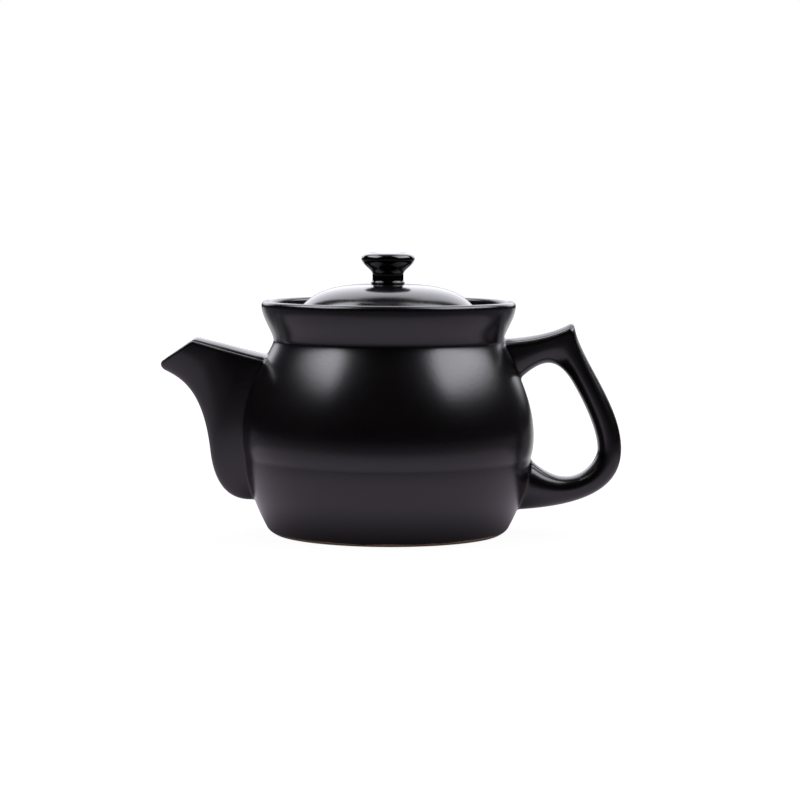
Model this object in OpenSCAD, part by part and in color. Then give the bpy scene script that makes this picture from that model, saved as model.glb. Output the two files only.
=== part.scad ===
// Herbal decoction pot in black glazed stoneware.
// The shell is built as such large pots are: a pressed foot bowl, a belly luted to it at the
// crease, and a thrown collar with the lid's shelf luted to the shoulder. A cast beak spout and a
// pulled loop handle are luted to its sides, and a loose domed lid with a luted knob drops onto
// the shelf. The belly is pierced behind the spout as a strainer that holds the herbs back.
// Millimetres. The pot stands on z = 0 with its axis on z, the spout to -x and the handle to +x.

/* [Shell] */
// Diameter of the flat foot
foot_d = 143; // [130:1:155]
// Widest diameter, at the belly
belly_d = 184; // [174:1:196]
// Height of the widest part of the belly
belly_h = 62; // [57:1:70]
// How far the crease under the belly lies inside the belly's radius
crease_in = 1.8; // [0.8:0.1:4]
// Height of the faint crease where the belly is luted to the foot bowl
crease_h = 48.5; // [42:0.5:53]
// Outside diameter of the neck
neck_d = 144.8; // [138:0.2:152]
// Height of the neck
neck_h = 121.5; // [116:0.5:125]
// Outside diameter of the rim
rim_d = 160; // [154:1:168]
// Height of the rim above the table
rim_h = 146.5; // [141:0.5:154]
// Thickness of the rolled lip
lip_t = 5.6; // [4.5:0.1:7]
// Thickness of the thrown wall
wall_t = 5; // [4:0.1:6]
// Thickness of the floor
floor_t = 6; // [5:0.1:8]
// Width of the bare ring that the pot stands on
foot_ring_w = 9; // [6:0.5:14]
// How far the underside is turned away inside the foot ring
foot_recess = 1.6; // [1:0.1:3]

/* [Lid seat] */
// Diameter of the mouth inside the shelf that carries the lid
mouth_d = 125; // [118:1:128]
// Depth of the shelf below the rim
seat_depth = 19.5; // [17.5:0.5:21]
// Thickness of the shelf at its edge
seat_t = 3; // [2:0.5:5]
// How far the collar's seam lies below the shelf's roll
collar_root = 4; // [3:0.5:6]

/* [Spout] */
// How far the beak's corner stands out beyond the belly, before its tip is blunted
beak_out = 55.6; // [48:0.1:60]
// Height of the beak's corner
beak_h = 105.7; // [102:0.1:109]
// Radius of the blunt tip
tip_r = 4; // [2:0.1:6]
// How far the top plate ends beyond the belly
plate_out = 29.8; // [26:0.1:33]
// Height of the top plate's end over the mouth
plate_h = 121.7; // [119:0.1:125]
// Height at which the top plate meets the shoulder
plate_root_h = 110.3; // [107:0.1:114]
// How far the throat stands out beyond the belly
throat_out = 20.5; // [18:0.1:25]
// Height of the throat
throat_h = 51.6; // [47:0.1:57]
// Height of the heel under the spout's root
heel_h = 21.2; // [17:0.1:26]
// Width of the spout at its root
spout_root_w = 34; // [30:0.5:40]
// Width of the spout at its mouth
spout_mouth_w = 26; // [22:0.5:30]
// Wall of the cast spout
spout_wall = 3.4; // [2.8:0.1:4.2]
// Rise of the crowned top plate over its edges
plate_crown = 2.6; // [1.5:0.1:4]
// Radius of the edges between the plate and the sides
plate_edge = 1.6; // [1:0.1:3]

/* [Strainer] */
// Diameter of the strainer holes
strainer_hole_d = 5; // [3:0.5:6]
// Height between neighbouring rows of strainer holes
strainer_pitch = 8.4; // [7.5:0.1:9.4]
// Least clay between a strainer hole and the spout's inner wall
strainer_edge = 2.2; // [1:0.1:4]
// Rows of strainer holes
strainer_rows = 6; // [3:1:6]

/* [Handle] */
// How far the back of the handle stands out beyond the belly
back_out = 55.5; // [49:0.1:62]
// Height of the point where the handle stands out most
back_h = 53.4; // [49:0.1:59]
// How far the thumb ear stands out beyond the belly
ear_out = 24.7; // [21:0.1:29]
// Height of the ear's tip
ear_h = 133.9; // [130:0.1:138]
// Height of the handle's top where it leaves the neck
arm_h = 123.1; // [120:0.1:125]
// Height of the handle's underside where it leaves the lower wall
tail_h = 14.3; // [11:0.1:20]
// Thickness of the grip, between the finger loop and the back
grip_t = 14.9; // [12:0.1:17]
// Width of the grip across the hand
grip_w = 19; // [16:0.5:23]
// Width of the handle at its two roots
root_w = 25; // [21:0.5:29]
// Height of the top of the finger loop
loop_top_h = 107.7; // [105:0.1:110]
// Height of the bottom of the finger loop
loop_low_h = 34.9; // [32:0.1:38]

/* [Lid] */
// Height of the lid's crown above the shelf it rests on
crown_rise = 30; // [26:0.5:34]
// Diameter of the dome where it rises from the flange
dome_d = 121; // [114:1:124]
// Thickness of the flange that rests on the shelf
flange_t = 4; // [3:0.1:5]
// Clearance all round between the flange and the collar
flange_clear = 1.6; // [1:0.1:3]
// Clearance under the flange at rest
seat_clear = 0.2; // [0.1:0.05:0.4]
// Thickness of the dome
dome_t = 4.4; // [3.5:0.1:5.5]
// Depth of the locating skirt below the shelf
skirt_drop = 6; // [4:0.5:9]
// Thickness of the locating skirt
skirt_t = 4; // [3:0.1:5]
// Clearance all round between the skirt and the mouth
skirt_clear = 2; // [1:0.1:3]

/* [Knob] */
// Largest diameter of the knob's head
knob_d = 34.6; // [28:0.2:38]
// Height of the knob above the lid
knob_h = 19.8; // [17:0.1:23]
// Diameter of the knob's waist
waist_d = 20; // [16:0.2:22]
// Diameter of the knob's base, where it is luted to the lid
knob_base_d = 23.4; // [20:0.2:26]
// How far the top of the knob is dished
knob_dish = 0.7; // [0.3:0.1:1.5]

/* [Hidden] */

$fn = 96;
// Curve steps for turned profiles, and the height to which cutting shapes overrun
curve_steps = 10;
overrun = 3;

glaze = "#1d1a1a";
gloss_glaze = "#141212";

foot_r = foot_d / 2;
belly_r = belly_d / 2;
neck_r = neck_d / 2;
rim_r = rim_d / 2;
lip_r = lip_t / 2;
crease_r = belly_r - crease_in;
mouth_r = mouth_d / 2;
seat_h = rim_h - seat_depth;

// ---- curves ----

function direction(angle) = [cos(angle), sin(angle)];

// Points of the cubic curve from a to b that leaves a at angle_a, pulled along it by pull_a, and
// arrives at b along angle_b, pulled by pull_b. The first point is left out when skip is 1.
function curve(a, angle_a, pull_a, b, angle_b, pull_b, steps = curve_steps, skip = 0) =
    let (p = a + pull_a * direction(angle_a), q = b - pull_b * direction(angle_b))
    [for (i = [skip:steps]) let (t = i / steps, u = 1 - t)
        u * u * u * a + 3 * u * u * t * p + 3 * u * t * t * q + t * t * t * b];

// Points of a round corner about centre, from angle_a to angle_b
function round_corner(centre, radius, angle_a, angle_b, steps = 6) =
    [for (i = [0:steps]) centre + radius * direction(angle_a + (angle_b - angle_a) * i / steps)];

function last(list) = list[len(list) - 1];
function reversed(list) = [for (i = [len(list) - 1:-1:0]) list[i]];
function unit(v) = v / norm(v);
function mix(a, b, t) = a + (b - a) * t;
function smooth(t) = t * t * (3 - 2 * t);

// An outline moved sideways by gap, to the left of the way it runs
function beside(points, gap) = [for (i = [0:len(points) - 1])
    let (way = unit(points[min(i + 1, len(points) - 1)] - points[max(i - 1, 0)]))
    points[i] + gap * [-way[1], way[0]]];

// Turned outlines are looked up by height: the radius of an outline [r, z] at a height
function by_height(points) = [for (p = points) [p[1], p[0]]];

// The stretch of a climbing outline between two heights
function between(points, low, high) = concat(
    [[lookup(low, by_height(points)), low]],
    [for (p = points) if (p[1] > low && p[1] < high) p],
    [[lookup(high, by_height(points)), high]]
);

// ---- shell ----

// The outside of the thrown wall, from the foot's edge to the lip
lip_centre = [rim_r - lip_r, rim_h - lip_r];
toe = [foot_r + 5, 4.1];
wall_outline = concat(
    curve([foot_r, 0], 25, 2, toe, 62, 2, 5),
    curve(toe, 62, 16, [crease_r, crease_h], 87, 16, skip = 1),
    curve([crease_r, crease_h], 73, 4.5, [belly_r, belly_h], 90, 5, 5, skip = 1),
    curve([belly_r, belly_h], 90, 28, [neck_r, neck_h], 90, 4, 16, skip = 1),
    curve([neck_r, neck_h], 90, 5, [rim_r, lip_centre[1]], 90, 8, skip = 1)
);

inner_wall = beside(wall_outline, wall_t);
floor_top = foot_recess + floor_t;
floor_corner_r = 12;

// The shelf that carries the lid is thrown as a roll inside the collar
collar_r = lookup(seat_h, by_height(inner_wall));
shelf_low_h = seat_h - seat_t - (collar_r - mouth_r);
collar_seam_h = shelf_low_h - collar_root;

// The foot bowl: a flat ring round a shallow recess, the lower wall, and a floor with a round corner
module foot_bowl() {
    recess_r = foot_r - foot_ring_w;
    inside = between(inner_wall, floor_top + floor_corner_r, crease_h);
    color(glaze) rotate_extrude() polygon(concat(
        [[0, foot_recess], [recess_r - foot_recess, foot_recess], [recess_r, 0]],
        between(wall_outline, 0, crease_h),
        reversed(inside),
        reversed(curve([inside[0][0] - floor_corner_r, floor_top], 0, 8, inside[0], 84, 6, 6)),
        [[0, floor_top]]
    ));
}

// Holes through the wall inside the spout's root: two outer columns and a staggered middle one
module strainer_column(y, low_h, rows) {
    for (row = [0:rows - 1])
        translate([0, y, low_h + row * strainer_pitch])
            rotate([0, -90, 0]) cylinder(d = strainer_hole_d, h = belly_r + overrun);
}

module strainer_holes() {
    side = spout_root_w / 2 - spout_wall - strainer_edge - strainer_hole_d / 2;
    low_h = crease_h + strainer_edge + strainer_hole_d / 2;
    strainer_column(-side, low_h, strainer_rows);
    strainer_column(0, low_h + strainer_pitch / 2, strainer_rows - 1);
    strainer_column(side, low_h, strainer_rows);
}

module belly() {
    color(glaze) difference() {
        rotate_extrude() polygon(concat(
            between(wall_outline, crease_h, collar_seam_h),
            reversed(between(inner_wall, crease_h, collar_seam_h))
        ));
        strainer_holes();
    }
}

// The collar: neck, flared wall and rolled lip outside, and the shelf inside
module collar() {
    lip = round_corner(lip_centre, lip_r, 0, 180, 10);
    color(glaze) rotate_extrude() polygon(concat(
        between(wall_outline, collar_seam_h, lip_centre[1]),
        [for (i = [1:len(lip) - 1]) lip[i]],
        reversed(between(inner_wall, seat_h, lip_centre[1] - lip_r)),
        [[mouth_r, seat_h], [mouth_r, seat_h - seat_t]],
        reversed(between(inner_wall, collar_seam_h, shelf_low_h))
    ));
}

// The whole space inside the outer surface, which trims what is luted to it
module outside_of_shell() {
    rotate_extrude() polygon(concat([[0, 0]], wall_outline, [[0, lip_centre[1]]]));
}

// ---- lofts ----

// Corners of a closed ring in the plane through low and high, which both have y = 0. The half
// outline gives [distance from low towards high, half width], and is mirrored in y.
function ring(low, high, half) =
    let (up = unit(high - low), n = len(half))
    concat(
        [for (p = half) let (q = low + p[0] * up) [q[0], p[1], q[1]]],
        [for (i = [n - 2:-1:1]) let (q = low + half[i][0] * up) [q[0], -half[i][1], q[1]]]
    );

// A closed solid through rings of equal length
module loft(rings) {
    n = len(rings[0]);
    m = len(rings);
    polyhedron(
        points = [for (r = rings) for (p = r) p],
        faces = concat(
            [for (i = [1:n - 2]) [0, i + 1, i]],
            [for (i = [1:n - 2]) [(m - 1) * n, (m - 1) * n + i, (m - 1) * n + i + 1]],
            [for (j = [0:m - 2]) for (i = [0:n - 1]) [j * n + i, j * n + (i + 1) % n, (j + 1) * n + i]],
            [for (j = [0:m - 2]) for (i = [0:n - 1])
                [j * n + (i + 1) % n, (j + 1) * n + (i + 1) % n, (j + 1) * n + i]]
        )
    );
}

// ---- spout ----

// The keel runs from under the heel round to the throat and out to the corner of the beak, and the
// crown of the top plate runs straight from inside the shoulder to its end over the mouth. Both run
// one step too long, and the mouth is trimmed.
beak = [-belly_r - beak_out, beak_h];
beak_angle = 151.5;
throat = [-belly_r - throat_out, throat_h];
plate_end = [-belly_r - plate_out, plate_h];
plate_root = [-(neck_r + belly_r) / 2 + overrun, plate_root_h];
plate_start = plate_root + 6 * unit(plate_root - plate_end);
heel = [-belly_r + 12, heel_h];
heel_steps = 7;
beak_steps = 12;
keel = concat(
    curve(heel, 192, 28, throat, 96.5, 10, heel_steps),
    curve(throat, 96.5, 45, beak, beak_angle, 13, beak_steps, skip = 1),
    [beak + overrun * direction(beak_angle)]
);
spout_steps = len(keel) - 1;
plate = [for (i = [0:spout_steps]) mix(plate_start, plate_end, i / (spout_steps - 1))];

// Half outline of the spout: a round keel, a flat side and a crowned plate with a crisp edge
function spout_half(height, half_w, keel_l, crown, edge) = concat(
    [for (a = [0:15:90]) [keel_l * (1 - cos(a)), half_w * sin(a)]],
    [[(keel_l + height - crown - edge) / 2, half_w]],
    [for (a = [0:45:90]) [height - crown - edge * (1 - sin(a)), half_w - edge * (1 - cos(a))]],
    [for (s = [2 / 3, 1 / 3, 0]) [height - crown * s * s, (half_w - edge) * s]]
);

// Depth of a wall measured along a section that crosses it at a slant
function slanted(wall, section, way) = wall / abs(section[0] * way[1] - section[1] * way[0]);

// Ring number i of the spout, with its walls set in by inset
function spout_ring(i, inset) =
    let (
        t = i / spout_steps,
        up = unit(plate[i] - keel[i]),
        keel_way = unit(keel[min(i + 1, spout_steps)] - keel[max(i - 1, 0)]),
        plate_way = unit(plate_end - plate_start),
        low = keel[i] + slanted(inset, up, keel_way) * up,
        high = plate[i] - slanted(inset, up, plate_way) * up,
        height = norm(high - low),
        half_w = mix(spout_root_w, spout_mouth_w, smooth(min(1, 1.6 * t))) / 2 - inset,
        keel_l = min(mix(1.1, 1.45, t) * half_w, 0.72 * height)
    )
    ring(low, high, spout_half(height, half_w, keel_l, plate_crown, plate_edge));

// All that is trimmed off the mouth: what lies beyond the slanted line from the beak's corner to the
// plate's end, and the corner outside the blunt tip
module beyond_mouth() {
    mouth_way = unit(plate_end - beak);
    mouth_angle = atan2(mouth_way[1], mouth_way[0]);
    half_corner = (mouth_angle + 180 - beak_angle) / 2;
    tip_centre = beak + tip_r / sin(half_corner) * direction(mouth_angle - half_corner);
    leave = 8;
    blunt = round_corner(tip_centre, tip_r, mouth_angle + 90, beak_angle + 90 - leave, 8);
    above = plate_end + overrun * mouth_way;
    below = last(blunt) + 2 * overrun * direction(beak_angle + 180 - leave);
    rotate([90, 0, 0]) linear_extrude(spout_root_w, center = true) polygon(concat(
        [above],
        blunt,
        [below, [beak[0] - 2 * overrun, below[1]], [beak[0] - 2 * overrun, above[1]]]
    ));
}

module spout() {
    out = overrun * direction(beak_angle);
    bore_rings = [for (i = [0:spout_steps]) spout_ring(i, spout_wall)];
    color(glaze) difference() {
        loft([for (i = [0:spout_steps]) spout_ring(i, 0)]);
        loft(concat(
            [[for (p = bore_rings[0]) p + [overrun, 0, 0]]],
            bore_rings,
            [[for (p = last(bore_rings)) p + [out[0], 0, out[1]]]]
        ));
        beyond_mouth();
        outside_of_shell();
    }
}

// ---- handle ----

// The outer edge runs out along the arm to the ear, down the back and in along the tail, and the
// finger loop follows it
ear = [belly_r + ear_out, ear_h];
back = [belly_r + back_out, back_h];
loop_back = back - [grip_t, 0];
arm_steps = 8;
back_steps = 13;
tail_steps = 11;
handle_outer = concat(
    curve([neck_r - 12, arm_h - 1], 4, 20.4, ear, 32, 18.3, arm_steps),
    curve(ear, -87, 19.7, back, -90, 29.3, back_steps, skip = 1),
    curve(back, -90, 22.9, [foot_r, tail_h], -178.6, 57.5, tail_steps, skip = 1)
);
loop_shoulder = [belly_r + 22.9, loop_top_h - 9.7];
handle_inner = concat(
    curve([neck_r + 3, loop_top_h - 18.3], 49, 32.4, loop_shoulder, -54.7, 15.6, arm_steps),
    curve(loop_shoulder, -54.7, 1.7, loop_back, -90, 16, back_steps, skip = 1),
    curve(loop_back, -90, 11.6, [belly_r - 9, loop_low_h + 19.5], -231, 47.2, tail_steps, skip = 1)
);
handle_steps = len(handle_outer) - 1;

// Half outline of the handle: squarer towards the outside near the ear, round at the grip
function handle_half(height, half_w, outer_power, steps = 11) = [for (i = [0:steps])
    let (
        a = 180 * i / steps,
        power = a > 90 ? outer_power : 2.2,
        along = pow(abs(cos(a)), 2 / power)
    )
    [height / 2 * (1 - sign(cos(a)) * along), i == 0 || i == steps ? 0 : half_w * pow(sin(a), 2 / power)]];

function handle_ring(i) =
    let (
        t = i / handle_steps,
        low = handle_inner[i],
        high = handle_outer[i],
        from_ends = min(1, 4 * min(t, 1 - t)),
        half_w = mix(root_w, grip_w, smooth(from_ends)) / 2,
        squareness = mix(4.5, 2.2, smooth(max(0, min(1, 2.2 * t - 0.2))))
    )
    ring(low, high, handle_half(norm(high - low), half_w, squareness));

module handle() {
    color(glaze) difference() {
        loft([for (i = [0:handle_steps]) handle_ring(i)]);
        outside_of_shell();
    }
}

// ---- lid ----

lid_seat_h = seat_h + seat_clear;
crown_h = seat_h + crown_rise;
knob_base_r = knob_base_d / 2;
crown_r = knob_base_r + 1;
dome_r = dome_d / 2;
flange_r = collar_r - flange_clear;
skirt_r = mouth_r - skirt_clear;
flange_top_h = lid_seat_h + flange_t;
flange_edge = [flange_r - flange_t / 2, lid_seat_h + flange_t / 2];

// The dome's outside, from the flat that carries the knob down to the flange
dome_foot = [dome_r, flange_top_h + 1.5];
dome_outline = curve([crown_r, crown_h], 0, 38, dome_foot, -62, 11, 14);

module lid() {
    inside = [for (p = beside(dome_outline, -dome_t)) if (p[0] < skirt_r - skirt_t) p];
    color(glaze) rotate_extrude() polygon(concat(
        [[0, crown_h]],
        dome_outline,
        [[dome_r + 1.5, flange_top_h]],
        round_corner(flange_edge, flange_t / 2, 90, -90, 8),
        [[skirt_r, lid_seat_h], [skirt_r, seat_h - skirt_drop], [skirt_r - skirt_t, seat_h - skirt_drop]],
        [for (i = [len(inside) - 1:-1:0]) inside[i]],
        [[0, crown_h - dome_t]]
    ));
}

// ---- knob ----

module lid_knob() {
    base_edge = 1.2;
    head_edge = 3;
    top_h = crown_h + knob_h;
    waist_h = crown_h + 0.3 * knob_h;
    head_h = top_h - head_edge - 0.6;
    head_r = knob_d / 2;
    waist = [waist_d / 2, waist_h];
    head_start = [head_r - head_edge + head_edge * cos(-50), head_h + head_edge * sin(-50)];
    head_top = [head_r - 2 * head_edge, top_h];
    color(gloss_glaze) rotate_extrude() polygon(concat(
        [[0, crown_h], [knob_base_r - base_edge, crown_h]],
        round_corner([knob_base_r - base_edge, crown_h + base_edge], base_edge, -90, 90),
        curve([knob_base_r - base_edge, crown_h + 2 * base_edge], 160, 0.8, waist, 90, 1.5, 5, skip = 1),
        curve(waist, 90, 3, head_start, 40, 4, 8, skip = 1),
        round_corner([head_r - head_edge, head_h], head_edge, -40, 50),
        [head_top, [head_r * 0.35, top_h - knob_dish * 0.8], [0, top_h - knob_dish]]
    ));
}

foot_bowl();
belly();
collar();
spout();
handle();
lid();
lid_knob();
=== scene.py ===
"""Looks of the black glazed decoction pot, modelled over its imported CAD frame.

Lengths are in millimetres until a mesh is made. Outlines are written as (radius, height) for what
is turned on the wheel, and as (x, z) in the plane of the spout and the handle.
"""

import bisect
import math

import bmesh
import bpy
from mathutils import Matrix, Vector


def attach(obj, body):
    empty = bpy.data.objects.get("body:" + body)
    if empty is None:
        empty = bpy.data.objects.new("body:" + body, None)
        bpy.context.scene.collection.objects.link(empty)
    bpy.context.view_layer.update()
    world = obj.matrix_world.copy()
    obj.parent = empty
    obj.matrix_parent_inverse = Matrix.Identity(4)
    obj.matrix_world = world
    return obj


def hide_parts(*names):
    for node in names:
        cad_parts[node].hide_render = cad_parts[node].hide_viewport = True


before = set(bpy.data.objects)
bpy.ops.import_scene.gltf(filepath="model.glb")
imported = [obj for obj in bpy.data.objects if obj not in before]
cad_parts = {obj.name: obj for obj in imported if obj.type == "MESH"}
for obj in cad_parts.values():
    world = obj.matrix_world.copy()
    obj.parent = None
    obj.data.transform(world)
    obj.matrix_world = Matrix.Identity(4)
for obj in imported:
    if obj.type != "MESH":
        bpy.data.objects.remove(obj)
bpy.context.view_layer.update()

MM = 0.001

# ---- camera ----

CAMERA_AWAY = 1600       # from the pot's axis
CAMERA_UP = 211
CAMERA_ROLL = 0.25       # in degrees
AIM = (7.4, 0.0, 83.9)
LENS, SENSOR = 114.33, 36
NEAR_CLIP, FAR_CLIP = 0.05, 30     # in metres


def set_up_camera():
    place = Vector((0, -CAMERA_AWAY, CAMERA_UP))
    sight = (Vector(AIM) - place).to_track_quat("-Z", "Y").to_matrix()
    roll = Matrix.Rotation(math.radians(CAMERA_ROLL), 3, "Z")
    bpy.ops.object.camera_add(location=place * MM)
    camera = bpy.context.object
    camera.name = "camera"
    camera.rotation_euler = (sight @ roll).to_euler()
    camera.data.lens = LENS
    camera.data.sensor_width = SENSOR
    camera.data.clip_start = NEAR_CLIP
    camera.data.clip_end = FAR_CLIP
    bpy.context.scene.camera = camera


set_up_camera()

# ---- sizes, as in the CAD ----

FOOT_R = 71.5
BELLY_R, BELLY_H = 92.0, 62.0
CREASE_R, CREASE_H = 90.2, 48.5
NECK_R, NECK_H = 72.4, 121.5
RIM_R, RIM_H = 80.0, 146.5
LIP_R = 2.8
WALL = 5.0
FLOOR_TOP, FLOOR_CORNER = 7.6, 12
FOOT_RING = 9.0
FOOT_RECESS = 1.6
MOUTH_R = 62.5
SEAT_H, SEAT_T = 127.0, 3.0
EDGE, KNOB_EDGE = 0.7, 0.3         # how far the glaze rounds a corner to both sides

BEAK, BEAK_ANGLE = (-146.9, 105.2), 151.5
TIP_R = 4.0
THROAT, THROAT_ANGLE = (-112.5, 51.6), 96.5
HEEL = (-80.0, 21.2)
PLATE_END = (-120.8, 123.5)
PLATE_ROOT = (-79.2, 113.1)
PLATE_BURIED = 6         # how far the plate runs on into the wall
OVERRUN = 3.0            # how far the spout runs on before its mouth is trimmed
SPOUT_MOUTH_S = 0.95     # share of the spout's lines that ends at the mouth, before the overrun
SPOUT_ROOT_W, SPOUT_MOUTH_W = 34.0, 26.0
SPOUT_WALL = 3.4
PLATE_CROWN, PLATE_EDGE = 3.2, 2.0
GROOVE = 0.45            # depth of the seam where the top plate is luted on
FULLNESS = 0.97          # 1 is an ellipse, less is fuller
STRAINER_HOLE, STRAINER_PITCH = 5.0, 8.4
STRAINER_SIDE, STRAINER_LOW_H = 8.9, 53.2
DRILL_X, DRILL_L = -80, 40

SEAM, SEAM_DEPTH = 2.2, 1.8        # the slip round a luted piece, and how far a piece is buried
SEAM_SUNK = 0.04                   # how far the edge of the slip lies inside the wall

EAR = (116.7, 133.9)
BACK = (147.5, 53.4)
ARM_H, TAIL_H = 123.1, 14.3
GRIP_T, GRIP_W, ROOT_W = 14.9, 19.0, 25.0
GRIP_POWER = 2.15        # of the grip's section: 2 is an ellipse, more is fuller
EAR_ROUND = 0.014        # share of the outer edge that rounds the ear's tip
LOOP_TOP_H, LOOP_LOW_H = 107.7, 36.0
ARM_CROWN, ARM_EDGE, ARM_CREASE = 1.9, 3.0, 0.8
ARM_INNER = 0.55         # share of the arm's height that its round inner side takes
SIDE_FROM, EDGE_FROM, EDGE_TO, BACK_FROM = 90, 112, 134, 140   # degrees round the grip's section
LOOP_SHARES = (8 / 32, 13 / 32, 11 / 32)       # of the arm, the back and the tail in the loop

CROWN_H = 157.0
DOME_R = 60.5
FLANGE_T, FLANGE_CLEAR = 4.0, 1.6
LID_SEAT = 127.2
DOME_T = 4.4
SKIRT_DROP, SKIRT_T, SKIRT_CLEAR = 6.0, 4.0, 2.0
KNOB_R, KNOB_H = 16.7, 19.8
KNOB_BASE_R, WAIST_R = 10.7, 9.75
LID_ASIDE = -0.5         # the loose lid sits a little towards the spout

NEARBY = 0.002           # share of a line over which its way and its pace are measured
MERGED = 0.004           # points nearer than this are one

# ---- outlines ----


def heading(angle):
    return Vector((math.cos(math.radians(angle)), math.sin(math.radians(angle))))


def bezier(a, p, q, b, t):
    u = 1 - t
    return u * u * u * a + 3 * u * u * t * p + 3 * u * t * t * q + t * t * t * b


def bend(a, p, b, t):
    """Point of the arc that leaves a towards p and comes to b from p."""
    return (1 - t) ** 2 * a + 2 * t * (1 - t) * p + t * t * b


def curve(a, angle_a, pull_a, b, angle_b, pull_b, steps, skip=0):
    """Points from a to b of the curve that leaves a at angle_a and arrives at b along angle_b."""
    a, b = Vector(a), Vector(b)
    p, q = a + pull_a * heading(angle_a), b - pull_b * heading(angle_b)
    return [bezier(a, p, q, b, i / steps) for i in range(skip, steps + 1)]


def round_corner(centre, radius, angle_a, angle_b, steps):
    return [Vector(centre) + radius * heading(angle_a + (angle_b - angle_a) * i / steps)
            for i in range(steps + 1)]


def beside(points, gap):
    """The outline moved sideways by gap, to the left of the way it runs."""
    moved = []
    for i, p in enumerate(points):
        way = (points[min(i + 1, len(points) - 1)] - points[max(i - 1, 0)]).normalized()
        moved.append(p + gap * Vector((-way.y, way.x)))
    return moved


def eased(points, reach, sharp=20, steps=4):
    """The outline with its sharp corners rounded over reach to both sides."""
    points = [Vector(p) for p in points]
    made = [points[0]]
    for before, p, after in zip(points, points[1:], points[2:]):
        back, on = before - p, after - p
        if back.length < 1e-6 or on.length < 1e-6 or 180 - math.degrees(back.angle(on)) < sharp:
            made.append(p)
            continue
        a = p + back.normalized() * min(reach, back.length * 0.45)
        b = p + on.normalized() * min(reach, on.length * 0.45)
        made += [bend(a, p, b, i / steps) for i in range(steps + 1)]
    return made + [points[-1]]


def radius_at(height, outline):
    """Radius of a turned outline that climbs, at a height."""
    for a, b in zip(outline, outline[1:]):
        if a.y <= height <= b.y:
            return a.x + (b.x - a.x) * (height - a.y) / max(b.y - a.y, 1e-9)
    return outline[0].x if height < outline[0].y else outline[-1].x


def mix(a, b, t):
    return a + (b - a) * t


def smooth(t):
    t = min(1, max(0, t))
    return t * t * (3 - 2 * t)


LIP = (RIM_R - LIP_R, RIM_H - LIP_R)
TOE = (FOOT_R + 5, 4.1)
OUTSIDE = (
    curve((FOOT_R, 0), 25, 2, TOE, 62, 2, 8)
    + curve(TOE, 62, 16, (CREASE_R, CREASE_H), 87, 16, 30, 1)
    + curve((CREASE_R, CREASE_H), 73, 4.5, (BELLY_R, BELLY_H), 90, 5, 12, 1)
    + curve((BELLY_R, BELLY_H), 90, 28, (NECK_R, NECK_H), 90, 4, 64, 1)
    + curve((NECK_R, NECK_H), 90, 5, (RIM_R, LIP[1]), 90, 8, 28, 1)
)


def inner_wall():
    """The inside of the pot's wall, from over the round corner of its floor."""
    return [p for p in beside(OUTSIDE, WALL) if p.y > FLOOR_TOP + FLOOR_CORNER]


def pot_outline():
    """Half section of the pot, from the middle of its underside round the lip to its floor."""
    inner = inner_wall()
    collar_r = radius_at(SEAT_H, inner)
    shelf_low = SEAT_H - SEAT_T - (collar_r - MOUTH_R)
    inside = (
        curve((inner[0].x - FLOOR_CORNER, FLOOR_TOP), 0, 8, inner[0], 84, 6, 12)
        + [p for p in inner[1:] if p.y < shelf_low]
        + [Vector((radius_at(shelf_low, inner), shelf_low)), Vector((MOUTH_R, SEAT_H - SEAT_T)),
           Vector((MOUTH_R, SEAT_H)), Vector((collar_r, SEAT_H))]
        + [p for p in inner if SEAT_H < p.y < LIP[1] - LIP_R]
    )
    recess = FOOT_R - FOOT_RING
    underside = [Vector((0, FOOT_RECESS)), Vector((recess - FOOT_RECESS, FOOT_RECESS)),
                 Vector((recess, 0))]
    rim = round_corner(LIP, LIP_R, 0, 180, 16)[1:]
    whole = underside + OUTSIDE + rim + inside[::-1] + [Vector((0, FLOOR_TOP))]
    return eased(whole, EDGE)


def lid_outline():
    """Half section of the lid, from the crown down the dome, round the flange and up inside."""
    flange_r = radius_at(SEAT_H, inner_wall()) - FLANGE_CLEAR
    flange_top = LID_SEAT + FLANGE_T
    skirt_r = MOUTH_R - SKIRT_CLEAR
    dome = curve((KNOB_BASE_R + 1, CROWN_H), 0, 38, (DOME_R, flange_top + 1.5), -62, 11, 48)
    inside = [p for p in beside(dome, -DOME_T) if p.x < skirt_r - SKIRT_T]
    half_t = FLANGE_T / 2
    return eased(
        [Vector((0, CROWN_H))] + dome + [Vector((DOME_R + 1.5, flange_top))]
        + round_corner((flange_r - half_t, LID_SEAT + half_t), half_t, 90, -90, 12)
        + [Vector((skirt_r, LID_SEAT)), Vector((skirt_r, SEAT_H - SKIRT_DROP)),
           Vector((skirt_r - SKIRT_T, SEAT_H - SKIRT_DROP))]
        + inside[::-1] + [Vector((0, CROWN_H - DOME_T))], EDGE)


def knob_outline():
    """Half section of the knob, from under its base up over its head."""
    base_edge, head_edge, under = 0.9, 3.2, -28
    top = CROWN_H + KNOB_H
    waist = (WAIST_R, CROWN_H + 0.3 * KNOB_H)
    head_h = top - head_edge - 0.7
    head = Vector((KNOB_R - head_edge, head_h))
    base = Vector((KNOB_BASE_R - base_edge, CROWN_H + base_edge))
    brow = (KNOB_R - 2 * head_edge, top - 0.1)
    return eased(
        [Vector((0, CROWN_H - 0.3)), Vector((KNOB_BASE_R - base_edge, CROWN_H - 0.3))]
        + round_corner(base, base_edge, -60, 55, 8)
        + curve(base + base_edge * heading(55), 145, 0.9, waist, 90, 2.2, 10, 1)
        + curve(waist, 90, 3.2, head + head_edge * heading(under), 90 + under, 4.2, 20, 1)
        + round_corner(head, head_edge, under + 8, 50, 12)
        + curve(head + head_edge * heading(50), 140, 1.5, brow, 183, 1.5, 6, 1)
        + curve(brow, 183, 3, (0, top - 0.55), 180, 6, 10, 1), KNOB_EDGE)


# ---- modelling, as by hand ----


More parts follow.
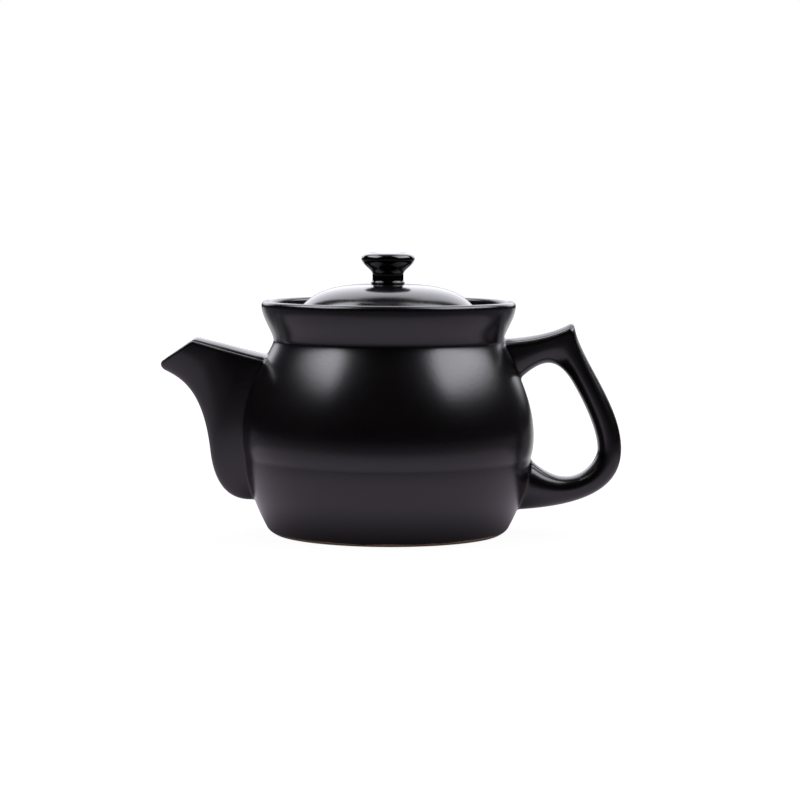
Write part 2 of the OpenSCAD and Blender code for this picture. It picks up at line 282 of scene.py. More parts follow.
def start(kind, **options):
    """Adds a primitive at the origin with nothing else selected, and opens it for editing."""
    bpy.ops.object.select_all(action="DESELECT")
    getattr(bpy.ops.mesh, f"primitive_{kind}_add")(location=(0, 0, 0), **options)
    bpy.ops.object.mode_set(mode="EDIT")
    return bpy.context.object


def close_up(piece, name):
    """Merges what meets, turns the faces outwards and leaves the piece smooth."""
    bpy.ops.mesh.select_all(action="SELECT")
    bpy.ops.mesh.remove_doubles(threshold=MERGED * MM)
    bpy.ops.mesh.normals_make_consistent(inside=False)
    bpy.ops.object.mode_set(mode="OBJECT")
    bpy.ops.object.shade_smooth()
    piece.name = piece.data.name = name
    return piece


def turned(name, outline, segments=192, aside=0.0):
    """Draws an outline point by point, spins it round the pot's axis and sets it aside of it."""
    piece = start("plane", size=MM)
    bpy.ops.mesh.merge(type="CENTER")
    bpy.ops.transform.translate(value=(outline[0].x * MM, 0, outline[0].y * MM))
    for a, b in zip(outline, outline[1:]):
        step = (b - a) * MM
        bpy.ops.mesh.extrude_region_move(TRANSFORM_OT_translate={"value": (step.x, 0, step.y)})
    bpy.ops.mesh.select_all(action="SELECT")
    bpy.ops.mesh.spin(steps=segments, angle=math.tau, center=(0, 0, 0), axis=(0, 0, 1))
    bpy.ops.mesh.select_all(action="SELECT")
    bpy.ops.transform.translate(value=(aside * MM, 0, 0))
    return close_up(piece, name)


def drawn_out(name, rings, joined_up=False):
    """Extrudes a loop of vertices from ring to ring; the ends are filled, or meet if joined_up."""
    piece = start("circle", vertices=len(rings[0]), radius=MM)
    mesh = bmesh.from_edit_mesh(piece.data)
    mesh.verts.ensure_lookup_table()
    loop = list(range(len(rings[0])))
    for v, p in zip(mesh.verts, rings[0]):
        v.co = p * MM
    for ring in rings[1:] + (rings[:1] if joined_up else []):
        bpy.ops.mesh.extrude_region_move()
        mesh = bmesh.from_edit_mesh(piece.data)
        mesh.verts.index_update()
        mesh.verts.ensure_lookup_table()
        after = []
        for index, p in zip(loop, ring):
            new = next(e.other_vert(mesh.verts[index]) for e in mesh.verts[index].link_edges
                       if e.other_vert(mesh.verts[index]).select)
            new.co = p * MM
            after.append(new.index)
        loop = after
    bmesh.update_edit_mesh(piece.data)
    if not joined_up:
        bpy.ops.mesh.edge_face_add()
        mesh = bmesh.from_edit_mesh(piece.data)
        mesh.verts.ensure_lookup_table()
        bpy.ops.mesh.select_all(action="DESELECT")
        for v in mesh.verts[:len(rings[0])]:
            v.select = True
        mesh.select_flush(True)
        bpy.ops.mesh.edge_face_add()
    return close_up(piece, name)


def cut_with(piece, cutter):
    """Takes the cutter's space out of the piece, and removes the cutter."""
    taken = piece.modifiers.new("taken_out", "BOOLEAN")
    taken.object, taken.operation, taken.solver = cutter, "DIFFERENCE", "EXACT"
    bpy.context.view_layer.objects.active = piece
    bpy.ops.object.modifier_apply(modifier=taken.name)
    bpy.data.objects.remove(cutter)


# ---- what is luted to the wall ----


def route(*legs):
    """A path through cubic legs (share of the way, a, angle, pull, b, angle, pull)."""
    def at(s):
        s = min(1, max(0, s))
        begun = 0
        for n, (share, a, angle_a, pull_a, b, angle_b, pull_b) in enumerate(legs):
            if s <= begun + share or n == len(legs) - 1:
                a, b = Vector(a), Vector(b)
                return bezier(a, a + pull_a * heading(angle_a), b - pull_b * heading(angle_b), b,
                              (s - begun) / share)
            begun += share
    return at


def evenly(line, steps=400):
    """The same path, walked at an even pace."""
    points = [line(i / steps) for i in range(steps + 1)]
    reached = [0.0]
    for a, b in zip(points, points[1:]):
        reached.append(reached[-1] + (b - a).length)

    def at(s):
        goal = min(1, max(0, s)) * reached[-1]
        i = min(bisect.bisect_right(reached, goal), steps) - 1
        return line((i + (goal - reached[i]) / max(reached[i + 1] - reached[i], 1e-9)) / steps)
    return at


def leaves_wall(line, start_s, end_s):
    """Where a line that starts inside the wall comes out of the pot's outer surface."""
    def out(s):
        p = line(s)
        return math.hypot(p.x, p.y) - radius_at(p.z, OUTSIDE)
    steps = 60
    inside = start_s
    for i in range(1, steps + 1):
        s = mix(start_s, end_s, i / steps)
        if out(s) > 0:
            outside = s
            break
        inside = s
    for _ in range(24):
        middle = (inside + outside) / 2
        if out(middle) > 0:
            outside = middle
        else:
            inside = middle
    return outside


def on_wall(p, depth=0.0):
    """The point of the pot's outer surface at p's height and direction, depth inside it."""
    across = Vector((p.x, p.y, 0)).normalized()
    r = radius_at(p.z, OUTSIDE) - depth
    return Vector((across.x * r, across.y * r, p.z))


def wall_normal(p):
    across = Vector((p.x, p.y, 0)).normalized()
    climb = radius_at(p.z + 0.5, OUTSIDE) - radius_at(p.z - 0.5, OUTSIDE)
    return (across - Vector((0, 0, climb))).normalized()


def luted_root(place, count, buried_s, clear_s):
    """Rings that seat the lines place(s, j) on the wall, and where each line then goes on.

    The lines are inside the wall at buried_s and clear of it at clear_s. The seam between is a
    small fillet of slip.
    """
    starts = [leaves_wall(lambda s, j=j: place(s, j), buried_s, clear_s) for j in range(count)]
    sign = 1 if clear_s > buried_s else -1
    buried, begins = [], []
    steps = 5
    rings = [[] for _ in range(steps)]
    for j, s in enumerate(starts):
        p = place(s, j)
        run = (place(s + sign * NEARBY, j) - p) / NEARBY
        ds = SEAM / run.length
        side = place(s, (j + 1) % count) - place(s, (j - 1) % count)
        normal = side.cross(run).normalized() * sign
        centre = sum((place(s, k) for k in range(0, count, 4)), Vector((0, 0, 0))) / (count / 4)
        if normal.dot(p - centre) < 0:
            normal = -normal
        n = wall_normal(p)
        outward = (normal - normal.dot(n) * n).normalized()
        foot = on_wall(p + SEAM * outward, SEAM_SUNK)
        q = place(s + sign * ds, j)
        for k in range(steps):
            rings[k].append(bend(foot, p, q, k / steps))
        buried.append(on_wall(foot, SEAM_DEPTH))
        begins.append(s + sign * ds)
    return [buried] + rings, begins


def ring_point(low, high, along, out):
    up = (high - low).normalized()
    p = low + along * up
    return Vector((p.x, out, p.y))


# ---- pieces ----


def make_pot():
    """Thrown wall with its strainer holes behind the spout."""
    pot = turned("pot_shell", pot_outline())
    drills = []
    for y, low_h, rows in ((-STRAINER_SIDE, STRAINER_LOW_H, 6),
                           (0, STRAINER_LOW_H + STRAINER_PITCH / 2, 5),
                           (STRAINER_SIDE, STRAINER_LOW_H, 6)):
        for row in range(rows):
            bpy.ops.object.select_all(action="DESELECT")
            bpy.ops.mesh.primitive_cylinder_add(
                vertices=32, radius=STRAINER_HOLE / 2 * MM, depth=DRILL_L * MM,
                location=(DRILL_X * MM, y * MM, (low_h + row * STRAINER_PITCH) * MM),
                rotation=(0, math.pi / 2, 0))
            drills.append(bpy.context.object)
    bpy.ops.object.select_all(action="DESELECT")
    for drill in drills:
        drill.select_set(True)
    bpy.context.view_layer.objects.active = drills[0]
    bpy.ops.object.join()
    cut_with(pot, drills[0])
    return pot


def spout_half_outline():
    """(kind, share) of each point of half the spout's section, from the keel to the crown."""
    return ([("keel", i / 18) for i in range(19)] + [("side", i / 3) for i in range(1, 3)]
            + [("edge", i / 6) for i in range(7)] + [("groove", 0), ("groove", 1)]
            + [("crown", i / 6) for i in range(7)])


def spout_surface(inset):
    """The spout's lines place(s, j), from inside the wall to past the mouth, and their count."""
    beyond = Vector(BEAK) + OVERRUN * heading(BEAK_ANGLE)
    keel = route((0.35, HEEL, 192, 28, THROAT, THROAT_ANGLE, 10),
                 (0.6, THROAT, THROAT_ANGLE, 45, BEAK, BEAK_ANGLE, 13),
                 (0.05, BEAK, BEAK_ANGLE, 1, beyond, BEAK_ANGLE, 1))
    into_wall = (Vector(PLATE_ROOT) - Vector(PLATE_END)).normalized()
    start_2d = Vector(PLATE_ROOT) + PLATE_BURIED * into_wall
    end_2d = mix(start_2d, Vector(PLATE_END), 1 / SPOUT_MOUTH_S)
    half = spout_half_outline()
    count = 2 * (len(half) - 1)

    def place(s, j):
        k, side = (j, 1) if j < len(half) else (count - j, -1)
        kind, share = half[k]
        low, high = keel(s), mix(start_2d, end_2d, s)
        up = (high - low).normalized()
        if inset:
            way = (keel(min(1, s + NEARBY)) - keel(max(0, s - NEARBY))).normalized()
            top_way = (end_2d - start_2d).normalized()
            low = low + inset / abs(up.x * way.y - up.y * way.x) * up
            high = high - inset / abs(up.x * top_way.y - up.y * top_way.x) * up
        height = (high - low).length
        w = mix(SPOUT_ROOT_W, SPOUT_MOUTH_W, smooth(1.6 * s)) / 2 - inset
        shoulder = height - PLATE_CROWN - PLATE_EDGE
        keel_l = mix(0.93, 0.96, smooth(s)) * shoulder
        if kind == "keel":
            a = share * math.pi / 2
            along = keel_l * (1 - max(0, math.cos(a)) ** FULLNESS)
            out = w * max(0, math.sin(a)) ** FULLNESS
        elif kind == "side":
            along, out = mix(keel_l, shoulder, share), w
        elif kind == "edge":
            a = share * math.pi / 2
            along, out = shoulder + PLATE_EDGE * math.sin(a), w - PLATE_EDGE * (1 - math.cos(a))
        elif kind == "groove":
            along = shoulder + PLATE_EDGE + mix(-GROOVE, GROOVE, share)
            out = w - PLATE_EDGE - mix(0.5, 0.8, share)
        else:
            along = height - (PLATE_CROWN - 2 * GROOVE) * (1 - share) ** 2
            out = (w - PLATE_EDGE - 1.1) * (1 - share)
        return ring_point(low, high, along, side * out)
    return place, count


def beak_tip():
    """Angle of the mouth's slanted line, and the middle of the blunt tip that it runs out of."""
    mouth = Vector(PLATE_END) - Vector(BEAK)
    angle = math.degrees(math.atan2(mouth.y, mouth.x))
    half = (angle + 180 - BEAK_ANGLE) / 2
    return angle, Vector(BEAK) + TIP_R / math.sin(math.radians(half)) * heading(angle - half)


def by_the_tip(p, angle, middle):
    """Whether a point lies where the mouth is trimmed round the blunt tip, not along the line."""
    turn = math.degrees(math.atan2(p.z - middle.y, p.x - middle.x)) % 360
    return angle + 90 < turn < BEAK_ANGLE + 90


def past_mouth(p, angle, middle):
    """How far a point lies outside the trimmed mouth."""
    aside = Vector((p.x, p.z)) - middle
    if by_the_tip(p, angle, middle):
        return aside.length - TIP_R
    return aside.dot(heading(angle + 90)) - TIP_R


def trimmed(line, angle, middle):
    """Where a line of the spout leaves the trimmed mouth."""
    inside, outside = 0.5, 1.0
    for _ in range(30):
        s = (inside + outside) / 2
        if past_mouth(line(s), angle, middle) < 0:
            inside = s
        else:
            outside = s
    return outside


def onto_mouth(p, angle, middle):
    """A point between the two edges of the lip, moved onto the blunt tip."""
    if not by_the_tip(p, angle, middle):
        return p
    q = middle + TIP_R * (Vector((p.x, p.z)) - middle).normalized()
    return Vector((q.x, p.y, q.y))


def make_spout():
    """Hollow beak: outer skin from its seam to the mouth, round the lip and back down the bore."""
    outer, count = spout_surface(0)
    bore, _ = spout_surface(SPOUT_WALL)
    root, begins = luted_root(outer, count, 0, 1)
    mouth = beak_tip()
    outer_edge, inner_edge = 2.0, 1.1      # rounding of the lip's two edges

    def rim(surface, j, edge):
        """Where line j leaves the mouth, and where the rounding of the lip's edge begins on it."""
        s = trimmed(lambda t: surface(t, j), *mouth)
        pace = (surface(s, j) - surface(s - NEARBY, j)).length / NEARBY
        return s, s - edge / pace

    outs = [rim(outer, j, outer_edge) for j in range(count)]
    ins = [rim(bore, j, inner_edge) for j in range(count)]
    steps = 60
    rings = list(root)
    for i in range(steps + 1):
        rings.append([outer(mix(begins[j], outs[j][1], i / steps), j) for j in range(count)])
    corners = [(outer(outs[j][0], j), bore(ins[j][0], j)) for j in range(count)]

    def face(j, share):
        return onto_mouth(corners[j][0].lerp(corners[j][1], share), *mouth)

    widths = [(b - a).length for a, b in corners]
    for t in (0.25, 0.5, 0.75, 1):
        rings.append([bend(outer(outs[j][1], j), corners[j][0],
                           face(j, outer_edge / widths[j]), t) for j in range(count)])
    for t in (0, 0.25, 0.5, 0.75):
        rings.append([bend(face(j, 1 - inner_edge / widths[j]), corners[j][1],
                           bore(ins[j][1], j), t) for j in range(count)])
    bore_starts = [leaves_wall(lambda s, j=j: bore(s, j), 0, 1) for j in range(count)]
    for i in range(steps, -1, -2):
        rings.append([bore(mix(bore_starts[j], ins[j][1], i / steps), j) for j in range(count)])
    rings.append([on_wall(bore(bore_starts[j], j), SEAM_DEPTH) for j in range(count)])
    return drawn_out("beak", rings, joined_up=True)


def handle_half_outline():
    """(angle round the grip's section, kind and share on the arm's section) of half the points."""
    made = [(SIDE_FROM * i / 14, "inner", i / 14) for i in range(15)]
    made += [(SIDE_FROM + (EDGE_FROM - SIDE_FROM) * i / 4, "side", i / 4) for i in range(1, 4)]
    made += [(EDGE_FROM + (EDGE_TO - EDGE_FROM) * i / 6, "edge", i / 6) for i in range(7)]
    made += [(EDGE_TO + 2, "crease", 0), (BACK_FROM - 2, "crease", 1)]
    made += [(BACK_FROM + (180 - BACK_FROM) * i / 8, "back", i / 8) for i in range(9)]
    return made


def handle_surface():
    """The handle's lines place(s, j), from inside the neck to inside the lower wall, and count."""
    loop_shoulder = (BELLY_R + 22.9, LOOP_TOP_H - 9.7)
    loop_back = (BACK[0] - GRIP_T, BACK[1])
    arm, back, tail = LOOP_SHARES
    rough = evenly(route(
        (arm, (NECK_R - 12, ARM_H - 1), 4, 20.4, EAR, 32, 18.3),
        (back, EAR, -87, 19.7, BACK, -90, 29.3),
        (tail, BACK, -90, 22.9, (FOOT_R, TAIL_H), -178.6, 57.5)))
    inner = evenly(route(
        (arm, (NECK_R + 3, LOOP_TOP_H - 18.3), 49, 32.4, loop_shoulder, -54.7, 15.6),
        (back, loop_shoulder, -54.7, 1.7, loop_back, -90, 16),
        (tail, loop_back, -90, 10.6, (BELLY_R - 9, LOOP_LOW_H + 18.4), -231, 45.5)))
    ear_s = max((rough(i / 800).y, i / 800) for i in range(400))[1]

    def outer(s):
        """The outer edge with the tip of its ear rounded."""
        spread = EAR_ROUND * max(0, 1 - ((s - ear_s) / (3 * EAR_ROUND)) ** 2)
        if spread <= 0:
            return rough(s)
        points = [rough(s + spread * k / 4) for k in range(-4, 5)]
        return sum(points, Vector((0, 0))) / len(points)

    half = handle_half_outline()
    count = 2 * (len(half) - 1)

    def place(s, j):
        k, side = (j, 1) if j < len(half) else (count - j, -1)
        angle, kind, share = half[k]
        low, high = inner(s), outer(s)
        height = (high - low).length
        w = mix(ROOT_W, GRIP_W, smooth(4 * min(s, 1 - s))) / 2
        a = math.radians(angle)
        power = 2 / GRIP_POWER
        cos, sin = math.cos(a), math.sin(a)
        round_along = height / 2 * (1 - math.copysign(abs(cos) ** power, cos))
        round_out = w * abs(sin) ** power
        eared = 1 - smooth(2.4 * s - 0.35)     # all of it on the arm, none from under the back
        crown, edge, inner_l = ARM_CROWN, ARM_EDGE, ARM_INNER * height
        shoulder = height - crown - edge
        if kind == "inner":
            along, out = inner_l * (1 - cos), w * sin
        elif kind == "side":
            along, out = mix(inner_l, shoulder, share), w
        elif kind == "edge":
            b = share * math.pi / 2
            along, out = shoulder + edge * math.sin(b), w - edge * (1 - math.cos(b))
        elif kind == "crease":
            along = shoulder + edge + mix(-ARM_CREASE, 0.1, share)
            out = w - edge - mix(0.4, 0.9, share)
        else:
            along = height - (crown - 0.25) * (1 - share) ** 1.6
            out = (w - edge - 1.2) * (1 - share)
        return ring_point(low, high, mix(round_along, along, eared),
                          side * mix(round_out, out, eared))
    return place, count


def make_handle():
    """Pulled loop with a thumb ear, luted to the neck and to the lower wall."""
    place, count = handle_surface()
    top, begins = luted_root(place, count, 0, 0.5)
    tail, ends = luted_root(place, count, 1, 0.5)
    steps = 120
    rings = list(top)
    for i in range(steps + 1):
        rings.append([place(mix(begins[j], ends[j], i / steps), j) for j in range(count)])
    rings += tail[::-1]
    return drawn_out("loop_handle", rings)


# ---- finishes ----


class Value:
    """A node's output, on which expressions add Math nodes."""

    def __init__(self, finish, socket):
        self.finish, self.socket = finish, socket

    def maths(self, operation, *others):
        return self.finish.node("ShaderNodeMath", {"operation": operation}, self, *others)

    def __add__(self, other):
        return self.maths("ADD", other)

    __radd__ = __add__

    def __mul__(self, other):
        return self.maths("MULTIPLY", other)

    def __sub__(self, other):
        return self.maths("SUBTRACT", other)

    def __rsub__(self, other):
        return self.finish.node("ShaderNodeMath", {"operation": "SUBTRACT"}, other, self)

    def __truediv__(self, other):
        return self.maths("DIVIDE", other)

    def __pow__(self, other):
        return self.maths("POWER", other)

    def above(self, low, high):
        """0 below low, 1 above high, with a soft step between."""
        return self.finish.node(
            "ShaderNodeMapRange", {"interpolation_type": "SMOOTHSTEP"},
            **{"Value": self, "From Min": low, "From Max": high, "To Min": 0.0, "To Max": 1.0})


class Finish:
    """A material and the nodes that it is made of."""

    def __init__(self, name, tree=None):
        if tree is None:
            self.material = bpy.data.materials.new(name)
            self.material.use_nodes = True
            tree = self.material.node_tree
        self.tree = tree
        self.tree.nodes.clear()

    def node(self, kind, settings=None, *values, output=0, **named):
        """Adds a node: its settings first, then its sockets by order or by name."""
        made = self.tree.nodes.new(kind)
        for key, value in (settings or {}).items():
            setattr(made, key, value)
        for key, value in list(enumerate(values)) + list(named.items()):
            socket = made.inputs[key]
            if isinstance(value, Value):
                self.tree.links.new(value.socket, socket)
            else:
                socket.default_value = value
        return Value(self, made.outputs[output])

    def spots(self, scale, detail, roughness):
        """Noise over the piece's own coordinates, scale in features a metre."""
        place = self.node("ShaderNodeTexCoord", output="Object")
        return self.node("ShaderNodeTexNoise", {}, Vector=place, Scale=float(scale), Detail=detail,
                         Roughness=roughness)

    def height(self):
        """Height over the table, in millimetres."""
        place = self.node("ShaderNodeTexCoord", output="Object")
        return self.node("ShaderNodeSeparateXYZ", {}, place, output="Z") * 1000

    def blend(self, factor, a, b):
        """The colour a where factor is 0, and b where it is 1."""
        return self.node("ShaderNodeMix", {"data_type": "RGBA"}, output=2,
                         **{"Factor": factor, "A": a, "B": b})

    def surface(self, shader):
        out = self.tree.nodes.new("ShaderNodeOutputMaterial")
        self.tree.links.new(shader.socket, out.inputs["Surface"])
        return self.material


GLAZE_DARK, GLAZE_PALE = (0.0022, 0.0016, 0.0018, 1), (0.003, 0.0021, 0.0024, 1)
KNOB_DARK, KNOB_PALE = (0.0008, 0.0007, 0.0007, 1), (0.0012, 0.001, 0.001, 1)
GLAZE_IOR = 1.6
# noises, as features a metre, detail and roughness
DRIFT, CLOUD, SKIN = (22, 4.0, 0.6), (95, 3.0, 0.55), (380, 3.0, 0.6)
GRIT, FINE = (900, 3.0, 0.7), (1500, 2.0, 0.6)
CLAY_DARK, CLAY_PALE = (0.62, 0.4, 0.22, 1), (0.8, 0.57, 0.36, 1)
CLAY_ROUGH = 0.92
CLAY_H, CLAY_WANDER = 2.0, 3.6     # height of the bare clay's edge, and how far it wanders


def glaze(name, dark, pale, rough, uneven, peel, grain, bare_foot=False):
    """Fired black glaze: slow changes of tone and gloss, an orange-peel skin and a fine grain.

    Its roughness is rough, give or take uneven. The skin and the grain are peel and grain deep,
    in millimetres.
    """
    f = Finish(name)
    drift = f.spots(*DRIFT)
    cloud = f.spots(*CLOUD)
    fine = f.spots(*FINE)
    tone = f.blend(cloud.above(0.4, 0.62), dark, pale)
    roughness = rough + (drift - 0.5) * uneven + (fine - 0.5) * (uneven * 0.5)
    if bare_foot:
        edge = CLAY_H + (drift - 0.5) * CLAY_WANDER
        clay_mask = 1 - (f.height() - edge).above(-0.12, 0.12)
        clay_grit = f.spots(*GRIT)
        clay = f.blend(clay_grit.above(0.35, 0.65), CLAY_DARK, CLAY_PALE)
        tone = f.blend(clay_mask, tone, clay)
        roughness = roughness + clay_mask * (CLAY_ROUGH - rough)
    skin = f.node("ShaderNodeBump", {}, **{
        "Strength": 1.0, "Distance": peel * MM, "Height": f.spots(*SKIN)})
    bump = f.node("ShaderNodeBump", {}, **{
        "Strength": 1.0, "Distance": grain * MM, "Height": fine, "Normal": skin})
    shader = f.node("ShaderNodeBsdfPrincipled", {}, **{
        "Base Color": tone, "Roughness": roughness, "IOR": GLAZE_IOR, "Normal": bump})
    return f.surface(shader)


def dress(piece, body, slot, material, *nodes):
    piece.data.materials.clear()
    piece.data.materials.append(material)
    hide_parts(*nodes)
    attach(piece, body)


SATIN = glaze("satin_black_glaze", GLAZE_DARK, GLAZE_PALE, rough=0.23, uneven=0.06, peel=0.036,
              grain=0.003, bare_foot=True)
LID_SATIN = glaze("lid_black_glaze", GLAZE_DARK, GLAZE_PALE, rough=0.17, uneven=0.05, peel=0.03,
                  grain=0.003)
GLOSSY = glaze("glossy_knob_glaze", KNOB_DARK, KNOB_PALE, rough=0.08, uneven=0.03, peel=0.006,
               grain=0.0)

dress(make_pot(), "pot", "satin_glaze", SATIN, "foot_bowl", "belly", "collar")
dress(make_spout(), "pot", "satin_glaze", SATIN, "spout")
dress(make_handle(), "pot", "satin_glaze", SATIN, "handle")
dress(turned("dome_lid", lid_outline(), aside=LID_ASIDE), "cover", "lid_glaze", LID_SATIN, "lid")
dress(turned("knob", knob_outline(), 128, LID_ASIDE), "cover", "gloss_glaze", GLOSSY, "lid_knob")

# ---- studio, in metres and degrees ----

WHITE = (1, 1, 1, 1)
FLOOR_R = 6
FLOOR_SINK = -0.0001               # keeps the floor just clear of the foot
FLOOR_SEEN, FLOOR_FAR_SEEN = 0.95, 0.07        # glow to the camera, and what it gains far off
FLOOR_SEEN_FADE = (0.15, 0.6)
FLOOR_PALE = 0.05                  # of the matt white that takes the shadow
TABLE_HALF_WIDTH, TABLE_FRONT, TABLE_BACK = 0.44, 0.315, 0.14
TABLE_FADE, TABLE_BACK_FADE = (0.85, 1.15), 0.05       # in shares of its size, and in metres
TABLE_SLANT = 0.2                  # its back edge comes nearer by this towards the handle
TABLE_GLOW, FLOOR_GLOW = 0.44, 0.05
TABLE_TINT = (0.94, 0.82, 1.0, 1)
FOOT_SHADE, FOOT_SHADE_FADE = 0.05, (0.066, 0.118)
NEAR_R, NEAR_FADE, NEAR_GAIN = 0.28, 0.12, 0.34        # the table is lighter near the pot
SWEEP_GLOW, SWEEP_SPREAD = 0.85, 0.45
SWEEP_BEGINS, SWEEP_SIDE = (0.03, 0.12), (0.08, 0.15)  # soft steps, from and to
SKY_MATT = 0.2                     # what the white sky gives to a matt surface
CLOTH_R, CLOTH_COLOUR = 2.6, (0.012, 0.01, 0.0115, 1)
CLOTH_LOW, CLOTH_TOP, CLOTH_ROUND = -1, 60, 153        # its foot, its top, and its open back
PANEL_R, PANEL_TINT = 2.5, (0.93, 0.93, 1.0, 1)
PANEL_WIDENS_FROM = 40             # elevation at which a panel has the width that it is given
PANEL_SPARE = (15, 4)              # azimuth and elevation of mesh past a panel's fading edge


def seen_or_mirrored(f):
    """1 where the camera looks straight or through glass, and 1 where it looks into a glaze."""
    seen = f.node("ShaderNodeLightPath", output="Is Camera Ray")
    through = f.node("ShaderNodeLightPath", output="Is Transmission Ray")
    return seen.maths("MAXIMUM", through), f.node("ShaderNodeLightPath", output="Is Glossy Ray")


def make_floor():
    """White floor that keeps a faint shadow of the pot.

    To the glaze it is a tinted table top, shaded under the foot, and a white sweep behind it.
    """
    bpy.ops.object.select_all(action="DESELECT")
    bpy.ops.mesh.primitive_circle_add(
        vertices=96, radius=FLOOR_R, fill_type="NGON", location=(0, 0, FLOOR_SINK))
    floor = bpy.context.object
    floor.name = "floor"
    f = Finish("white_floor")
    seen, _ = seen_or_mirrored(f)
    place = f.node("ShaderNodeTexCoord", output="Object")
    x = f.node("ShaderNodeSeparateXYZ", {}, place, output="X")
    y = f.node("ShaderNodeSeparateXYZ", {}, place, output="Y")
    front = y.maths("MINIMUM", 0.0)
    reach = ((x / TABLE_HALF_WIDTH) ** 2 + (front / TABLE_FRONT) ** 2) ** 0.5
    behind = (y + x * TABLE_SLANT).above(TABLE_BACK - TABLE_BACK_FADE, TABLE_BACK + TABLE_BACK_FADE)
    table = (1 - reach.above(*TABLE_FADE)) * (1 - behind)
    from_foot = (x * x + y * y) ** 0.5
    near = (NEAR_R - from_foot).above(0, NEAR_FADE) * NEAR_GAIN + 1
    shade = from_foot.above(*FOOT_SHADE_FADE) * (1 - FOOT_SHADE) + FOOT_SHADE
    lit = shade * near * (table * (TABLE_GLOW - FLOOR_GLOW) + FLOOR_GLOW)
    aside = (x.maths("ABSOLUTE") - y * SWEEP_SPREAD).above(*SWEEP_SIDE)
    sweep = y.above(*SWEEP_BEGINS) * (1 - aside)
    lit = lit + sweep * (SWEEP_GLOW - lit)
    glow_seen = FLOOR_SEEN + from_foot.above(*FLOOR_SEEN_FADE) * FLOOR_FAR_SEEN
    strength = seen * glow_seen + (1 - seen) * lit
    colour = f.blend(seen.maths("MAXIMUM", sweep), TABLE_TINT, WHITE)
    white = f.node("ShaderNodeBsdfDiffuse", {}, Color=(FLOOR_PALE, FLOOR_PALE, FLOOR_PALE, 1))
    light = f.node("ShaderNodeEmission", {}, Color=colour, Strength=strength)
    floor.data.materials.append(f.surface(f.node("ShaderNodeAddShader", {}, white, light)))


def make_sky():
    """White all round, and dim for what is neither seen nor mirrored."""
    world = bpy.context.scene.world or bpy.data.worlds.new("studio")
    bpy.context.scene.world = world
    world.use_nodes = True
    f = Finish("", world.node_tree)
    seen, mirrored = seen_or_mirrored(f)
    strength = seen.maths("MAXIMUM", mirrored) * (1 - SKY_MATT) + SKY_MATT
    sky = f.node("ShaderNodeBackground", {}, Color=WHITE, Strength=strength)
    out = f.tree.nodes.new("ShaderNodeOutputWorld")
    f.tree.links.new(sky.socket, out.inputs["Surface"])


def compass(c):
    """Azimuth from the camera's side, positive towards the handle, and elevation, in degrees."""
    return (math.degrees(math.atan2(c.x, -c.y)),
            math.degrees(math.asin(max(-1, min(1, c.z / c.length)))))


def make_shell_of_room(name, radius, kept):
    """Part of a sphere round the pot that the camera doesn't see."""
    bpy.ops.object.select_all(action="DESELECT")
    bpy.ops.mesh.primitive_uv_sphere_add(
        segments=120, ring_count=60, radius=radius, location=(0, 0, 0))
    room = bpy.context.object
    room.name = name
    bpy.ops.object.mode_set(mode="EDIT")
    bpy.ops.mesh.select_all(action="DESELECT")
    mesh = bmesh.from_edit_mesh(room.data)
    for face in mesh.faces:
        face.select = not kept(*compass(face.calc_center_median()))
    mesh.select_flush(False)
    bpy.ops.mesh.delete(type="FACE")
    bpy.ops.mesh.select_all(action="SELECT")
    bpy.ops.mesh.normals_make_consistent(inside=True)
    bpy.ops.object.mode_set(mode="OBJECT")
    room.visible_camera = False
    room.visible_shadow = False
    return room


def make_dark_room():
    """Black cloth round and over the pot, open at the back."""
    room = make_shell_of_room("dark_room", CLOTH_R, lambda az, up: (
        up > CLOTH_LOW and (up > CLOTH_TOP or abs(az) < CLOTH_ROUND)))
    f = Finish("black_cloth")
    cloth = f.node("ShaderNodeBsdfDiffuse", {}, Color=CLOTH_COLOUR)
    room.data.materials.append(f.surface(cloth))


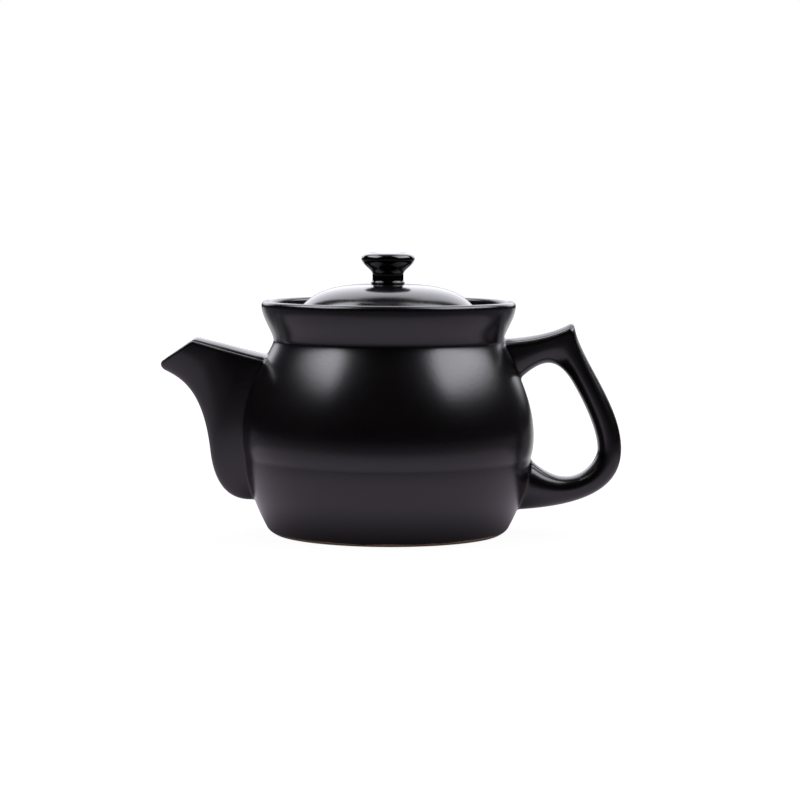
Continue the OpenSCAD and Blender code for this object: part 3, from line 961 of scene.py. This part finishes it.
def make_panel(name, azimuths, elevations, fade, top_fade, bottom, top, spread=0.0, tilt=0.0):
    """Soft-edged studio light between azimuths and elevations, of bottom and top radiance.

    It widens by spread to both sides and its lower edge sinks by tilt, for each degree.
    """
    low_az, high_az = azimuths
    low_up, high_up = elevations
    spare_az, spare_up = PANEL_SPARE
    middle = (low_az + high_az) / 2
    half = (high_az - low_az) / 2

    def kept(az, up):
        aside = abs((az - middle + 180) % 360 - 180)
        return (aside < half + fade + spare_az
                and low_up - fade - spare_up < up < high_up + top_fade)
    panel = make_shell_of_room(name, PANEL_R, kept)
    f = Finish(name)
    place = f.node("ShaderNodeTexCoord", output="Object")
    parts = [f.node("ShaderNodeSeparateXYZ", {}, place, output=axis) for axis in "XYZ"]
    up = (parts[2] / PANEL_R).maths("ARCSINE") * math.degrees(1)
    turn = math.radians(middle)
    across = parts[0] * math.cos(turn) + parts[1] * math.sin(turn)
    ahead = parts[0] * math.sin(turn) - parts[1] * math.cos(turn)
    aside = across.maths("ARCTAN2", ahead) * math.degrees(1)
    width = aside.maths("ABSOLUTE") - (up - PANEL_WIDENS_FROM) * spread
    edge = 1 - width.above(half - fade, half + fade)
    lower = (up + aside * tilt).above(low_up - fade, low_up + fade)
    upper = 1 - up.above(high_up - top_fade, high_up + top_fade)
    share = up.above(low_up, high_up)
    strength = edge * lower * upper * (share * (top - bottom) + bottom)
    panel.data.materials.append(f.surface(
        f.node("ShaderNodeEmission", {}, Color=PANEL_TINT, Strength=strength)))


make_floor()
make_sky()
make_dark_room()
make_panel("panel_left", (-124, -54), (38, 79), fade=7, top_fade=9, bottom=6.9, top=4.6,
           spread=0.3)
make_panel("panel_right", (52, 126), (32, 77), fade=7, top_fade=9, bottom=6.6, top=3.6,
           spread=0.3, tilt=0.1)
make_panel("panel_back", (142, 218), (9, 62), fade=5, top_fade=7, bottom=2.4, top=2.7)
make_panel("panel_over", (-180, 180), (80, 100), fade=6, top_fade=1, bottom=0.5, top=0.5)

bpy.context.scene.view_settings.view_transform = "Standard"

bpy.context.view_layer.update()
